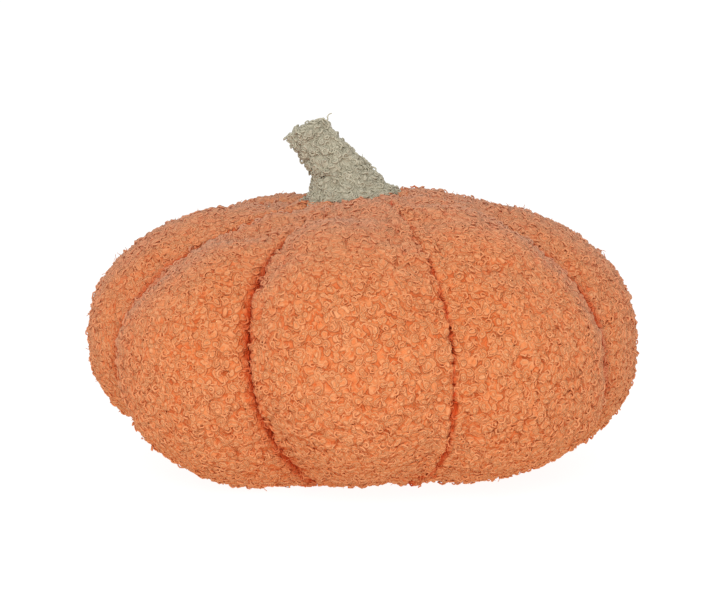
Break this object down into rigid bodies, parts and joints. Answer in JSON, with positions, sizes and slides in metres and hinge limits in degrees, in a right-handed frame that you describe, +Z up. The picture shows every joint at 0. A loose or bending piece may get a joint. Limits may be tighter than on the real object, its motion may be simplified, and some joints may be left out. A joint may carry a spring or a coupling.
{
  "type": "stuffed pumpkin",
  "caption": "Squat stuffed pumpkin of looped-pile orange cloth, drawn in at its seams, with a bent sage cloth stem.",
  "frame": {"origin": "on the surface that the pumpkin rests on, under the middle of its box", "axes": "+Z up, -Y the front with the deep seam to the left of the middle, +X to the right; the stem leans to -X"},
  "size_m": [0.2976, 0.2984, 0.1874],
  "materials": {
    "orange_cloth": "looped pile, matt",
    "sage_cloth": "looped pile, matt"
  },
  "bodies": {
    "root": {"gore_front": "orange_cloth", "gore_front_right": "orange_cloth", "gore_right": "orange_cloth", "gore_back_right": "orange_cloth", "gore_back": "orange_cloth", "gore_back_left": "orange_cloth", "gore_left": "orange_cloth", "gore_front_left": "orange_cloth", "stem": "sage_cloth"}
  },
  "joints": []
}
